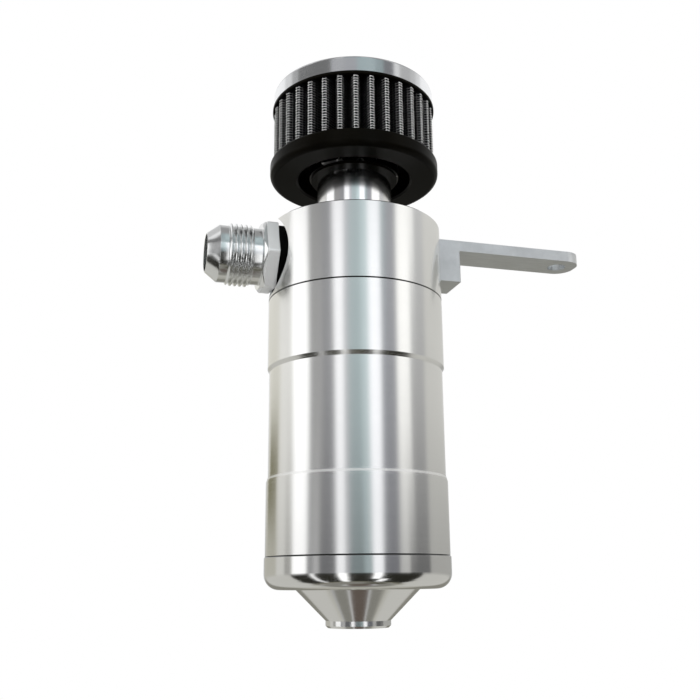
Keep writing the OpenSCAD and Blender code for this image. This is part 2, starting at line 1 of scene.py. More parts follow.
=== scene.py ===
# %% [markdown]
# Oil catch can, in cells.
# The can is a turned aluminium bottle in three screwed sections. A clamp-on
# breather filter sits on a polished neck, a flared inlet fitting points left
# and a milled bracket points right.
# The CAD model fixes every size. This script gives the surfaces their finish
# and adds what is too fine for the CAD: the cut threads and the woven wire.

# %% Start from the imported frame
import math
import random

import bmesh
import bpy
from mathutils import Matrix, Vector


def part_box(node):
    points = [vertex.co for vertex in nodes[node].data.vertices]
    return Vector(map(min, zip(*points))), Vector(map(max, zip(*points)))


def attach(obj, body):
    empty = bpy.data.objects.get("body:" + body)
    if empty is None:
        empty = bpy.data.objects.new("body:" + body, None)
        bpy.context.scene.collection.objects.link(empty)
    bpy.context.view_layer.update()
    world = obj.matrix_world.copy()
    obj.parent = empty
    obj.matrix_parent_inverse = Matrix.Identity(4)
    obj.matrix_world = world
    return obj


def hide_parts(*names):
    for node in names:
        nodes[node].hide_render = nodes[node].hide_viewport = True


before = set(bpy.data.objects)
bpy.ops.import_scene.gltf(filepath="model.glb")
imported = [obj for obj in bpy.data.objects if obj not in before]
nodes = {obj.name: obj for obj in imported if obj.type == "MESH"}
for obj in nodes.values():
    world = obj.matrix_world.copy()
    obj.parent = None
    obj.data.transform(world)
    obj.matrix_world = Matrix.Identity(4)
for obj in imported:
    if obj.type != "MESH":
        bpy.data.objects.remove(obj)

bpy.context.scene.view_settings.view_transform = "Standard"
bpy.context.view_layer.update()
MM = 0.001

# %% [markdown]
# The camera comes first. The picture was taken from just above the can's
# bottom, close by, looking up: the section seams bow upwards and the filter
# shows its underside. A near camera with a normal lens gives the same curve
# in the seams, which a far camera with a long lens would flatten.

# %% Camera
def place_camera(bearing, reach, height, pitch, roll, lens, shift):
    """Camera at a distance from the can's axis; angles in degrees, sizes in metres."""
    turn, tilt, lean = (math.radians(a) for a in (bearing, pitch, roll))
    ahead = Vector((math.sin(turn) * math.cos(tilt), math.cos(turn) * math.cos(tilt),
                    math.sin(tilt)))
    level = Vector((math.cos(turn), -math.sin(turn), 0))
    upright = level.cross(ahead)
    right = math.cos(lean) * level + math.sin(lean) * upright
    up = -math.sin(lean) * level + math.cos(lean) * upright
    data = bpy.data.cameras.new("camera")
    data.lens, data.sensor_width, data.shift_x = lens, 36, shift
    data.clip_start, data.clip_end = 0.01, 50
    camera = bpy.data.objects.new("camera", data)
    bpy.context.scene.collection.objects.link(camera)
    turned = Matrix((right, up, -ahead)).transposed().to_4x4()
    spot = Vector((-reach * math.sin(turn), -reach * math.cos(turn), height))
    camera.matrix_world = Matrix.Translation(spot) @ turned
    bpy.context.scene.camera = camera
    return camera


CAMERA_BEARING = 16
camera = place_camera(bearing=CAMERA_BEARING, reach=0.376, height=0.0178, pitch=14.61,
                      roll=-0.57, lens=45.76, shift=-0.0080)
print("camera at", [round(v, 4) for v in camera.location])

# %% [markdown]
# Every material here is a small node tree, so a few short helpers keep the
# cells readable: one starts a material, one adds a node, one joins two
# sockets, one does a sum, one maps a range, and two more give the shader its
# colour and its bump.

# %% Node helpers
class Finish:
    """One material with its node tree and its Principled shader."""

    def __init__(self, name, **settings):
        self.material = bpy.data.materials.new(name)
        self.material.use_nodes = True
        self.tree = self.material.node_tree
        self.tree.nodes.clear()
        self.shader = self.add("ShaderNodeBsdfPrincipled")
        out = self.add("ShaderNodeOutputMaterial")
        self.join(self.shader.outputs[0], out.inputs[0])
        for socket, value in settings.items():
            self.shader.inputs[socket.replace("_", " ")].default_value = value

    def add(self, kind, **settings):
        """A new node with its settings."""
        node = self.tree.nodes.new(kind)
        for key, value in settings.items():
            setattr(node, key, value)
        return node

    def join(self, source, target):
        """Links an output to an input."""
        self.tree.links.new(source, target)

    def sum(self, how, a, b=0.0):
        """A Math node; each input is a number or another node's output."""
        node = self.add("ShaderNodeMath", operation=how)
        for i, value in enumerate((a, b)):
            if isinstance(value, (int, float)):
                node.inputs[i].default_value = value
            else:
                self.join(value, node.inputs[i])
        return node.outputs[0]

    def noise(self, where, scale, detail=2.0, rough=0.5):
        """A cloudy value from 0 to 1; scale is in clouds a metre."""
        node = self.add("ShaderNodeTexNoise")
        node.inputs["Scale"].default_value = scale
        node.inputs["Detail"].default_value = detail
        node.inputs["Roughness"].default_value = rough
        self.join(where, node.inputs["Vector"])
        return node.outputs["Fac"]

    def span(self, value, low, high, start=0.0, end=1.0):
        """Maps a value from start..end to low..high, held inside."""
        node = self.add("ShaderNodeMapRange")
        node.inputs["From Min"].default_value = start
        node.inputs["From Max"].default_value = end
        node.inputs["To Min"].default_value = low
        node.inputs["To Max"].default_value = high
        self.join(value, node.inputs["Value"])
        return node.outputs["Result"]

    def tint(self, value, dark, light):
        """Blends two colours by a value and feeds the shader's base colour."""
        node = self.add("ShaderNodeMix", data_type="RGBA")
        node.inputs["A"].default_value = (*dark, 1)
        node.inputs["B"].default_value = (*light, 1)
        self.join(value, node.inputs["Factor"])
        self.join(node.outputs["Result"], self.shader.inputs["Base Color"])

    def dent(self, value, depth):
        """Bump from a 0..1 height; depth in metres."""
        node = self.add("ShaderNodeBump")
        node.inputs["Distance"].default_value = depth
        self.join(value, node.inputs["Height"])
        self.join(node.outputs[0], self.shader.inputs["Normal"])

    def place(self):
        """Object coordinates: metres in the can's own frame."""
        return self.add("ShaderNodeTexCoord").outputs["Object"]


def dress(finish, slot, *names):
    """Puts a finish on CAD nodes by name, and on new pieces given as objects."""
    for name in names:
        piece = nodes[name] if isinstance(name, str) else name
        piece.data.materials.clear()
        piece.data.materials.append(finish.material)


print("helpers ready")

# %% [markdown]
# Turned aluminium. On the lathe the tool leaves grooves that run round the
# part, finer than a hair. They spread a reflection along the axis and keep it
# narrow round it, so a lamp becomes a long upright streak. Two things give
# that: an anisotropic shader, whose tangent runs round the axis, and rings
# that depend only on the distance from the axis and the place along it.
# The seam where two sections meet is drawn as a dark line, painted shade in
# the narrow groove between them.

# %% Turned metal
SEAM_TONE, SEAM_HALF, SEAM_FADE = 0.12, 0.22 * MM, 0.4 * MM


def turned_metal(name, axis, centre, colour, rough, stretch, ring=0.0005, depth=8e-7,
                 seams=(), drawn=None, slopes=()):
    """Lathe-turned metal. axis is "X" or "Z"; centre is a point on the axis.

    drawn is (from, to, extra roughness, less metal): a length along the axis that
    kept a dull skin. slopes are (from, to, slope): lengths that lean by a slope in
    the bump, which narrows or widens a bevel for the eye.
    """
    finish = Finish(name, Base_Color=(*colour, 1), Metallic=1.0, Roughness=rough,
                    Anisotropic=stretch, Anisotropic_Rotation=0.25)
    tangent = finish.add("ShaderNodeTangent", direction_type="RADIAL", axis=axis)
    finish.join(tangent.outputs[0], finish.shader.inputs["Tangent"])
    shift = finish.add("ShaderNodeVectorMath", operation="SUBTRACT")
    shift.inputs[1].default_value = centre
    finish.join(finish.place(), shift.inputs[0])
    part = finish.add("ShaderNodeSeparateXYZ")
    finish.join(shift.outputs[0], part.inputs[0])
    across = {"X": ("Y", "Z"), "Z": ("X", "Y")}[axis]
    a, b = (part.outputs[key] for key in across)
    radius = finish.sum("SQRT", finish.sum("ADD", finish.sum("MULTIPLY", a, a),
                                           finish.sum("MULTIPLY", b, b)))
    rings = finish.add("ShaderNodeCombineXYZ")
    finish.join(radius, rings.inputs["X"])
    finish.join(part.outputs[axis], rings.inputs["Y"])
    fine = finish.noise(rings.outputs[0], 1 / ring, detail=3, rough=0.7)
    broad = finish.noise(shift.outputs[0], 55, detail=3)
    shade = finish.span(finish.sum("ADD", finish.sum("MULTIPLY", fine, 0.6),
                                   finish.sum("MULTIPLY", broad, 0.4)), 0.95, 1.0, 0.3, 0.7)
    # Painted shade: a dark line in the groove at each seam.
    for seam in seams:
        away = finish.sum("ABSOLUTE", finish.sum("SUBTRACT", part.outputs[axis], seam))
        line = finish.span(away, SEAM_TONE, 1.0, SEAM_HALF, SEAM_FADE)
        shade = finish.sum("MULTIPLY", shade, line)
    finish.tint(shade, (0.0, 0.0, 0.0), tuple(min(c * 1.02, 0.95) for c in colour))
    worn = finish.span(fine, rough * 0.9, rough * 1.1, 0.3, 0.7)
    if drawn:
        start, end, rougher, duller = drawn
        dull = finish.sum("MULTIPLY",
                          finish.sum("GREATER_THAN", part.outputs[axis], start),
                          finish.sum("LESS_THAN", part.outputs[axis], end))
        worn = finish.sum("ADD", worn, finish.sum("MULTIPLY", dull, rougher))
        finish.join(finish.span(dull, 1.0, 1.0 - duller), finish.shader.inputs["Metallic"])
    finish.join(worn, finish.shader.inputs["Roughness"])
    height = fine
    for low, high, slope in slopes:
        lean = finish.span(part.outputs[axis], 0, slope * (high - low) / depth, low, high)
        height = finish.sum("ADD", height, lean)
    finish.dent(height, depth)
    return finish


print("turned metal ready")

# %% [markdown]
# The can's three sections. The tube has a shallow waist between two full
# bands, and a bevel leads from each band to the waist. In the picture the
# lower bevel is narrower than the CAD's and the upper one is wider. So the
# bump levels the lower one and leaves a thin dull line in its middle, and it
# goes on leaning for a short way below the upper one.

# %% Lid, tube and cap
AXIS = (0, 0, 0)
LOW_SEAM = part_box("body_tube")[0].z
HIGH_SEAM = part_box("body_tube")[1].z
aluminium = (0.88, 0.88, 0.87)
lid_finish = turned_metal("lid_aluminium", "Z", AXIS, aluminium, 0.22, 0.5,
                          seams=(HIGH_SEAM,))
LOW_BEVEL = LOW_SEAM + 31.3 * MM          # the middle of the lower bevel
HIGH_BEVEL = HIGH_SEAM - 31.2 * MM        # the foot of the upper bevel
WAIST_DEPTH = 0.75 * MM
LOW_HALF = 1.2 * MM                       # half the lower bevel's height
HIGH_HEIGHT = 1.0 * MM
HIGH_MORE = 0.7 * MM                      # what the upper bevel looks taller by
BURR = (LOW_BEVEL - 0.3 * MM, LOW_BEVEL + 0.7 * MM, 0.1, 0.28)
level_again = (LOW_BEVEL - LOW_HALF, LOW_BEVEL + LOW_HALF, WAIST_DEPTH / (2 * LOW_HALF))
lean_longer = (HIGH_BEVEL - HIGH_MORE, HIGH_BEVEL, WAIST_DEPTH / HIGH_HEIGHT)
tube_finish = turned_metal("tube_aluminium", "Z", AXIS, aluminium, 0.22, 0.5,
                           seams=(LOW_SEAM, HIGH_SEAM), drawn=BURR,
                           slopes=(level_again, lean_longer))
cap_finish = turned_metal("cap_aluminium", "Z", AXIS, aluminium, 0.15, 0.3,
                          seams=(LOW_SEAM,))
dress(lid_finish, "lid_aluminium", "lid")
dress(tube_finish, "tube_aluminium", "body_tube")
dress(cap_finish, "cap_aluminium", "bottom_cap")
print("seams at", round(LOW_SEAM / MM, 1), "and", round(HIGH_SEAM / MM, 1), "mm")

# %% [markdown]
# The neck is polished after turning: the same grooves, but nearly gone, so
# its streaks are sharper. The filter's pressed cap is bright in the same way
# with a cooler colour.

# %% Polished neck and bright cap
neck_finish = turned_metal("neck_aluminium", "Z", AXIS, (0.92, 0.92, 0.92), 0.15, 0.5,
                           ring=0.0009, depth=4e-7)
chrome = turned_metal("filter_chrome", "Z", AXIS, (0.84, 0.85, 0.86), 0.14, 0.0,
                      ring=0.004, depth=1e-6)
dress(neck_finish, "neck_aluminium", "neck_tube")
dress(chrome, "filter_chrome", "filter_cap")
print("neck and filter cap dressed")

# %% [markdown]
# The bracket is milled from bar. A milling cutter leaves overlapping arcs, so
# the grain crosses each face at a slant. A noise that is stretched along one
# diagonal makes it, with no direction in the shader, because the arm shows
# only soft reflections.

# %% Milled bracket
def milled_metal(name, colour, rough, slant):
    finish = Finish(name, Base_Color=(*colour, 1), Metallic=1.0, Roughness=rough)
    turn = finish.add("ShaderNodeMapping")
    turn.inputs["Rotation"].default_value = (0, 0, math.radians(slant))
    turn.inputs["Scale"].default_value = (1.0, 14.0, 1.0)
    finish.join(finish.place(), turn.inputs["Vector"])
    grain = finish.noise(turn.outputs[0], 110, detail=4, rough=0.65)
    cloud = finish.noise(finish.place(), 90, detail=2)
    finish.tint(finish.span(grain, 0, 1, 0.3, 0.7), tuple(c * 0.86 for c in colour), colour)
    finish.join(finish.span(cloud, rough * 0.85, rough * 1.2, 0.3, 0.7),
                finish.shader.inputs["Roughness"])
    finish.dent(grain, 4e-6)
    return finish


bracket_finish = milled_metal("bracket_aluminium", (0.88, 0.90, 0.91), 0.46, 32)
dress(bracket_finish, "bracket_aluminium", "bracket")
print("bracket dressed")

# %% [markdown]
# Small steel pieces: the bracket's screw and washer, the clamp and the
# separator inside. Plating has faint spots and clouds, which two noises of
# different sizes give. The clamp, up in the rubber's recess, is painted nearly
# black as painted shade, with noise spots of bright metal as painted glints.

# %% Plated steel
def plated_steel(name, colour, rough):
    finish = Finish(name, Base_Color=(*colour, 1), Metallic=1.0, Roughness=rough)
    spots = finish.noise(finish.place(), 900, detail=2)
    cloud = finish.noise(finish.place(), 160, detail=3)
    finish.tint(finish.span(cloud, 0, 1, 0.3, 0.7), tuple(c * 0.82 for c in colour), colour)
    finish.join(finish.span(spots, rough * 0.8, rough * 1.25, 0.3, 0.7),
                finish.shader.inputs["Roughness"])
    finish.dent(spots, 4e-6)
    return finish


def clamp_with_painted_shade_and_glints(name, dull, bright, rough):
    """Steel painted nearly black as painted shade, with bright noise spots as painted glints.
    """
    finish = Finish(name, Base_Color=(*dull, 1), Metallic=1.0, Roughness=rough)
    # Painted glints: noise spots where the nearly black steel (the dull tone, painted shade)
    # turns bright.
    glint_spots = finish.noise(finish.place(), 260, detail=3, rough=0.6)
    finish.tint(finish.span(glint_spots, 0, 1, 0.58, 0.66), dull, bright)
    finish.dent(finish.noise(finish.place(), 900, detail=2), 4e-6)
    return finish


zinc = plated_steel("zinc_steel", (0.66, 0.67, 0.69), 0.3)
# The clamp: nearly black as painted shade, with bright spots as painted glints.
clamp_steel = clamp_with_painted_shade_and_glints("clamp_steel", (0.05, 0.05, 0.05), (0.6, 0.6, 0.6), 0.3)
black_screw = plated_steel("black_steel", (0.05, 0.05, 0.055), 0.38)
plate = plated_steel("plate_steel", (0.6, 0.6, 0.59), 0.4)
dress(zinc, "zinc_steel", "bracket_washer")
dress(clamp_steel, "clamp_steel", "clamp_band", "clamp_housing", "clamp_screw")
dress(black_screw, "black_steel", "bracket_screw")
dress(plate, "plate_steel", "lower_screen", "upper_screen", "snap_ring")
print("steel pieces dressed")

# %% [markdown]
# Moulded rubber is nearly black and warm, with the faint pebble of the mould
# and a slow change of gloss where hands have touched it.

# %% Rubber
def moulded_rubber(name, colour, rough, shine, pebble=1.5e-5):
    finish = Finish(name, Base_Color=(*colour, 1), Roughness=rough,
                    Specular_IOR_Level=shine)
    fine = finish.noise(finish.place(), 1500, detail=3, rough=0.6)
    cloud = finish.noise(finish.place(), 70, detail=3)
    finish.tint(finish.span(cloud, 0, 1, 0.35, 0.65), tuple(c * 0.75 for c in colour),
                tuple(c * 1.3 for c in colour))
    finish.join(finish.span(cloud, rough * 0.88, rough * 1.12, 0.35, 0.65),
                finish.shader.inputs["Roughness"])
    finish.dent(fine, pebble)
    return finish


base_rubber = moulded_rubber("black_rubber", (0.0022, 0.0018, 0.0009), 0.34, 0.05)
seal_rubber = moulded_rubber("seal_rubber", (0.001, 0.001, 0.001), 0.5, 0.03)
dress(base_rubber, "black_rubber", "filter_base", "cap_potting")
dress(seal_rubber, "seal_rubber", "fitting_o_ring", "tube_o_ring", "cap_o_ring")
print("rubber dressed")

# %% [markdown]
# The filter's medium is oiled cotton gauze, almost black. Its surface is
# fibres, so it is fully rough with a felt-like bump. The wire pad of the
# separator, inside the can, is a tangle of bright wire.

# %% Gauze and wire pad
def fibre(name, dark, light, rough, scale, depth, metal=0.0):
    finish = Finish(name, Base_Color=(*light, 1), Roughness=rough, Metallic=metal,
                    Specular_IOR_Level=0.05)
    tuft = finish.noise(finish.place(), scale, detail=5, rough=0.75)
    finish.tint(finish.span(tuft, 0, 1, 0.35, 0.65), dark, light)
    finish.dent(tuft, depth)
    return finish


gauze = fibre("filter_medium", (0.004, 0.004, 0.005), (0.016, 0.016, 0.018), 0.85, 1400, 1e-4)
pad = fibre("wire_pad", (0.2, 0.2, 0.2), (0.7, 0.7, 0.7), 0.35, 1800, 2e-4, metal=1.0)
dress(gauze, "filter_medium", "pleated_element")
dress(pad, "wire_pad", "mesh_pad")
print("gauze and pad dressed")

# %% [markdown]
# Over the gauze lies a woven wire cloth that is folded with the pleats. It is
# what shows as grey ribs. A bump map could hint at it, but the folds are seen
# at a grazing angle at both sides of the filter, where only real wires look
# right. First comes the line that the wires follow: the pleats' outline, cut
# into even steps. Every second point gets an upright.

# %% The fold line of the pleats
HALF_STEP = 0.8 * MM                      # half the distance between uprights
PLEATS = 33
PLEAT_TURN = 4.85
VALLEY_R, CREST_R = 28.8 * MM, 36.65 * MM
FOLD = [(0.0, -0.48), (0.12, -0.458), (0.8, -0.18), (0.95, -0.1), (1.0, 0.0),
        (0.95, 0.1), (0.8, 0.18), (0.12, 0.458), (0.0, 0.48)]


def fold_points(step):
    """Points (x, y) and outward normals along one pleat, an even step apart."""
    pitch = math.radians(360 / PLEATS)
    corners = []
    for depth, share in FOLD:
        r = VALLEY_R + (CREST_R - VALLEY_R) * depth
        corners.append(Vector((r * math.cos(share * pitch), r * math.sin(share * pitch))))
    end = corners[0].copy()
    end.rotate(Matrix.Rotation(pitch, 2))
    corners.append(end)
    lengths = [(b - a).length for a, b in zip(corners, corners[1:])]
    count = max(4, round(sum(lengths) / step))
    spots = []
    for i in range(count):
        way = sum(lengths) * i / count
        k = 0
        while way > lengths[k]:
            way -= lengths[k]
            k += 1
        side = (corners[k + 1] - corners[k]).normalized()
        spots.append((corners[k] + side * way, Vector((side.y, -side.x))))
    return spots


one_pleat = fold_points(HALF_STEP)
print("uprights across one pleat:", len(one_pleat) // 2)

# %% [markdown]
# Each wire is a thin four-sided rod. The uprights run along the folds, and the
# hoops follow the fold line. Where a hoop crosses an upright it stands out
# and is flattened wide by the rolling of the cloth, and between two uprights
# it is thin and lies low. That is what gives the ribs their rows of beads. A
# real cloth is never quite even, so each crossing is shifted a little.

# %% Weave the wire cloth
WIRE = 0.22 * MM
UPRIGHT = 0.1 * MM
HOOP_PITCH = 1.25 * MM
CROSSING = (1.6, 1.1)                     # how far out and how thick, in wires
BETWEEN = (0.3, 0.6)
SWAY, RISE = 0.1 * MM, 0.16 * MM
FOOT_GAP, HEAD_GAP = 2.3 * MM, 1.3 * MM   # what rubber and cap cover of the pleats
chance = random.Random(11)
SIDES = 4


def rod_ring(bm, spot, out, along, size, turn=0.0):
    """Points round a wire at a spot, its section square to along.

    A turn of 0 puts an edge of the wire outward, and 0.5 a flat.
    """
    side = out.cross(along).normalized()
    turns = [2 * math.pi * (i + turn) / SIDES for i in range(SIDES)]
    return [bm.verts.new(spot + size * (math.cos(a) * out + math.sin(a) * side))
            for a in turns]


def skin(bm, first, second):
    """The faces between two rings of points."""
    for i in range(SIDES):
        bm.faces.new((first[i], first[i - 1], second[i - 1], second[i]))


def weave(low, high, step):
    """The cloth from low to high, its hoops a step apart."""
    bm = bmesh.new()
    up = Vector((0, 0, 1))
    path = []
    for i in range(PLEATS):
        turn = Matrix.Rotation(math.radians(360 / PLEATS * i + PLEAT_TURN), 2)
        for spot, out in one_pleat:
            path.append(((turn @ spot).to_3d(), (turn @ out).to_3d()))
    for spot, out in path[::2]:
        rows = [rod_ring(bm, spot + out * UPRIGHT + up * z, out, up, UPRIGHT)
                for z in (low, high)]
        skin(bm, *rows)
    count = round((high - low) / step)
    for row in range(count):
        z = low + (row + 0.5) * (high - low) / count
        rings = []
        for i, (spot, out) in enumerate(path):
            ahead = path[(i + 1) % len(path)][0] - path[i - 1][0]
            lift, thick = BETWEEN if i % 2 else CROSSING
            sway = WIRE * lift + chance.uniform(-SWAY, SWAY)
            rise = z + chance.uniform(-RISE, RISE)
            rings.append(rod_ring(bm, spot + out * sway + up * rise, out,
                                  ahead.normalized(), WIRE * thick, turn=0.5))
        for i in range(len(rings)):
            skin(bm, rings[i - 1], rings[i])
    bmesh.ops.recalc_face_normals(bm, faces=bm.faces)
    return bm


def piece_from(bm, name, body):
    """A smooth-shaded piece of the scene that moves with one of the bodies."""
    mesh = bpy.data.meshes.new(name)
    bm.to_mesh(mesh)
    bm.free()
    mesh.shade_smooth()
    piece = bpy.data.objects.new(name, mesh)
    bpy.context.scene.collection.objects.link(piece)
    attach(piece, body)
    return piece


pleat_low, pleat_high = (corner.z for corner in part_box("pleated_element"))
cloth = piece_from(weave(pleat_low + FOOT_GAP, pleat_high - HEAD_GAP, HOOP_PITCH),
                   "wire_cloth", "lid_unit")
print("wire cloth faces:", len(cloth.data.polygons))

# %% [markdown]
# The wire is painted dark down in the folds, as painted shade, and light on the
# crests. The finish asks how far from the axis each point lies: the beads on
# the crests get a painted highlight, and the painted shade deepens the further
# in the wire is.

# %% Wire with painted shade and highlights
def wire_with_painted_shade(name, crest_light, fold_shade, valley, crest):
    """Wire painted light on the crests, with painted shade down in the folds."""
    finish = Finish(name, Base_Color=(*crest_light, 1), Metallic=0.45, Roughness=0.35)
    part = finish.add("ShaderNodeSeparateXYZ")
    finish.join(finish.place(), part.inputs[0])
    x, y = part.outputs["X"], part.outputs["Y"]
    radius = finish.sum("SQRT", finish.sum("ADD", finish.sum("MULTIPLY", x, x),
                                           finish.sum("MULTIPLY", y, y)))
    spots = finish.noise(finish.place(), 700, detail=3)
    depth = finish.sum("ADD", radius, finish.span(spots, -0.3 * MM, 0.3 * MM, 0.3, 0.7))
    # Painted shade: the wire darkens the further in it lies, with a little noise.
    fold = finish.span(depth, 0, 1, valley, crest)
    # Painted highlight: brightest on the outermost beads of the crests.
    bead_highlight = finish.span(radius, 0.3, 1.0, CREST_R - 0.5 * MM, CREST_R + 0.04 * MM)
    finish.tint(finish.sum("MULTIPLY", fold, bead_highlight), fold_shade, crest_light)
    finish.dent(spots, 6e-6)
    return finish


# Light tone for the crests and dark painted shade for the folds.
wire = wire_with_painted_shade("cloth_wire", (0.95, 0.95, 0.94), (0.02, 0.02, 0.02),
                  CREST_R - 2.2 * MM, CREST_R - 0.9 * MM)
dress(wire, "zinc_steel", cloth)
print("wire cloth dressed")

# %% [markdown]
# The inlet fitting is turned from hexagon bar, with a thread of 12 to the
# inch cut on its outer end. The CAD part has a plain cylinder there, so this
# piece replaces it. It is one skin of rows round the fitting's axis: for each
# row a small rule says how far out the metal stands at each angle, a circle,
# the hexagon or the thread's spiral.

# %% The fitting's rules of radius
FIT_Z = (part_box("inlet_fitting")[0].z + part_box("inlet_fitting")[1].z) / 2
HEX_TURN = 22
THREAD_PITCH = 25.4 / 12 * MM
THREAD_R, ROOT_R = 13.49 * MM, 12.25 * MM
HEX_HALF = 14.3 * MM
HEX_CORNER = 16.35 * MM
COLUMNS = 240


def hexagon(angle):
    """Distance from the axis to the hexagon's flat at an angle."""
    sixth = math.pi / 3
    return HEX_HALF / math.cos((angle % sixth) - sixth / 2)


def spiral(angle, along):
    """Distance from the axis to the thread: a 60 degree V, flat at crest and root."""
    phase = (along / THREAD_PITCH + angle / (2 * math.pi)) % 1.0
    height = 1.25 - 2.5 * abs(phase - 0.5) * 1.1
    return ROOT_R + (THREAD_R - ROOT_R) * min(1.0, max(0.0, height))


print("thread pitch:", round(THREAD_PITCH / MM, 3), "mm")

# %% [markdown]
# The rows go from the end inside the lid out to the flare's mouth. The
# hexagon's corners are rounded off toward the tip by a cone, as on every
# nut, and the outer thread fades in and out, as a cutting tool leaves it.
# The last rows are the 37 degree flare and the rounded lip of the bore.

# %% Rows along the fitting
INNER_END, INNER_TOP = 24.2, 32.1         # places along the axis, in millimetres
HEX_LOW, HEX_HIGH, HEX_BEVEL = 36.8, 43.3, 2.1
THREAD_LOW, THREAD_HIGH = 46.9, 57.6
NOSE_LOW, NOSE_HIGH, FLARE_END, TIP = 57.8, 61.2, 66.2, 66.45
BORE, INNER_THREAD, INNER_NECK = 7.95, 13.49, 11.19     # radii, in millimetres
RELIEF, NOSE = 12.29, 12.34
BREAK = 0.3                               # broken edge at the hexagon's foot
THREAD_ROWS = 104


def plain(r):
    """A round row: the same radius at each angle."""
    return lambda angle, along: r * MM


def fitting_rows():
    """Rows (distance along the axis, rule of radius), from the inner end to the tip."""
    rows = [(INNER_END, plain(BORE)), (INNER_END, plain(INNER_THREAD - 0.8)),
            (INNER_END + 0.8, plain(INNER_THREAD)), (INNER_TOP, plain(INNER_THREAD)),
            (INNER_TOP, plain(INNER_NECK)), (HEX_LOW, plain(INNER_NECK)),
            (HEX_LOW, plain(13.4))]
    straight = HEX_HIGH - HEX_LOW - HEX_BEVEL
    steps = [0, BREAK / 2, BREAK, 2.2, 4.2]
    steps += [HEX_HIGH - HEX_LOW - HEX_BEVEL * (1 - i / 14) for i in range(15)]
    for d in steps:
        into = max(0.0, d - straight) / HEX_BEVEL
        foot = max(0.0, BREAK - d) * MM

        def cornered(angle, along, into=into, foot=foot):
            turned = HEX_CORNER + (HEX_HALF - HEX_CORNER) * into ** 1.3
            return min(hexagon(angle), turned) - foot
        rows.append((HEX_LOW + d, cornered))
    rows += [(HEX_HIGH, plain(13.2)), (HEX_HIGH, plain(12.5)), (HEX_HIGH + 0.2, plain(RELIEF)),
             (THREAD_LOW, plain(RELIEF))]
    for i in range(1, THREAD_ROWS):
        at = THREAD_LOW + (THREAD_HIGH - THREAD_LOW) * i / THREAD_ROWS

        def cut(angle, along, at=at):
            lead = 12.1 + 1.2 * (at - THREAD_LOW)
            tail = 12.65 + 1.1 * (THREAD_HIGH - at)
            return min(spiral(angle, along), max(12.28, min(lead, tail)) * MM)
        rows.append((at, cut))
    rows += [(THREAD_HIGH, plain(12.6)), (THREAD_HIGH + 0.05, plain(12.45)),
             (NOSE_LOW, plain(NOSE)), (NOSE_HIGH, plain(NOSE)),
             (NOSE_HIGH + 0.15, plain(12.3)), (NOSE_HIGH + 0.35, plain(12.18)),
             (FLARE_END, plain(8.68)), (TIP - 0.05, plain(8.45)), (TIP, plain(8.2)),
             (TIP - 0.1, plain(BORE))]
    return rows


print("rows along the fitting:", len(fitting_rows()))

# %% [markdown]
# The skin joins the rows into one closed surface. Edges sharper than 28
# degrees stay sharp. The hexagon keeps the duller skin of the drawn bar,
# because the lathe never touched its flats, while all else is freshly cut.

# %% The fitting's skin
HEX_SKIN = (-41.9 * MM, -36.9 * MM, 0.22, 0.4)


def ringed_skin(rows, columns, offset):
    """Closed skin through the rows, the last one joined to the first."""
    bm = bmesh.new()
    rings = []
    for at, rule in rows:
        ring = []
        for i in range(columns):
            angle = 2 * math.pi * i / columns
            r = rule(angle, at * MM)
            a = angle + offset
            ring.append(bm.verts.new((-at * MM, r * math.sin(a), FIT_Z + r * math.cos(a))))
        rings.append(ring)
    for k in range(len(rings)):
        for i in range(columns):
            bm.faces.new((rings[k - 1][i - 1], rings[k - 1][i], rings[k][i], rings[k][i - 1]))
    bmesh.ops.remove_doubles(bm, verts=bm.verts, dist=1e-7)
    bmesh.ops.recalc_face_normals(bm, faces=bm.faces)
    return bm


fitting = piece_from(ringed_skin(fitting_rows(), COLUMNS, math.radians(HEX_TURN)),
                     "turned_fitting", "lid_unit")
bpy.context.view_layer.objects.active = fitting
fitting.select_set(True)
bpy.ops.object.shade_smooth_by_angle(angle=math.radians(28))
fitting.select_set(False)
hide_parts("inlet_fitting")
fitting_finish = turned_metal("fitting_aluminium", "X", (0, 0, FIT_Z), (0.86, 0.87, 0.87),
                              0.18, 0.3, ring=0.0004, depth=1.5e-6, drawn=HEX_SKIN)
dress(fitting_finish, "fitting_aluminium", fitting)
print("fitting faces:", len(fitting.data.polygons))

# %% [markdown]
# A machined edge is never perfectly sharp: it is broken with a file, and that
# narrow flat catches the light. The CAD bracket has sharp long edges, so a
# bevel modifier breaks them by a third of a millimetre.

# %% Broken edges
def break_edges(piece, width, angle=35):
    bevel = piece.modifiers.new("broken_edges", "BEVEL")
    bevel.width, bevel.segments = width, 2
    bevel.limit_method, bevel.angle_limit = "ANGLE", math.radians(angle)
    bevel.harden_normals = True


break_edges(nodes["bracket"], 0.3 * MM)
print("bracket edges broken")

# %% [markdown]
# The studio. The world is white to the camera and to reflections, and gives
# soft grey light to everything else. The can hangs by its bracket, and a pale
# floor lies well below it, out of the picture. It throws light back up, as a
# table would, so that the undersides aren't black.

# %% World and floor
def build_world(soft):
    """White for the camera and for mirrors, of strength soft for the rest."""
    world = bpy.data.worlds.new("studio")
    bpy.context.scene.world = world
    world.use_nodes = True
    tree = world.node_tree
    back = tree.nodes["Background"]
    back.inputs["Color"].default_value = (1, 1, 1, 1)
    rays = tree.nodes.new("ShaderNodeLightPath")
    seen = rays.outputs["Is Camera Ray"]
    for kind in ("Is Glossy Ray", "Is Transmission Ray"):
        both = tree.nodes.new("ShaderNodeMath")
        both.operation = "MAXIMUM"
        tree.links.new(seen, both.inputs[0])
        tree.links.new(rays.outputs[kind], both.inputs[1])
        seen = both.outputs[0]
    level = tree.nodes.new("ShaderNodeMapRange")
    level.inputs["To Min"].default_value = soft
    level.inputs["To Max"].default_value = 1.0
    tree.links.new(seen, level.inputs["Value"])
    tree.links.new(level.outputs["Result"], back.inputs["Strength"])


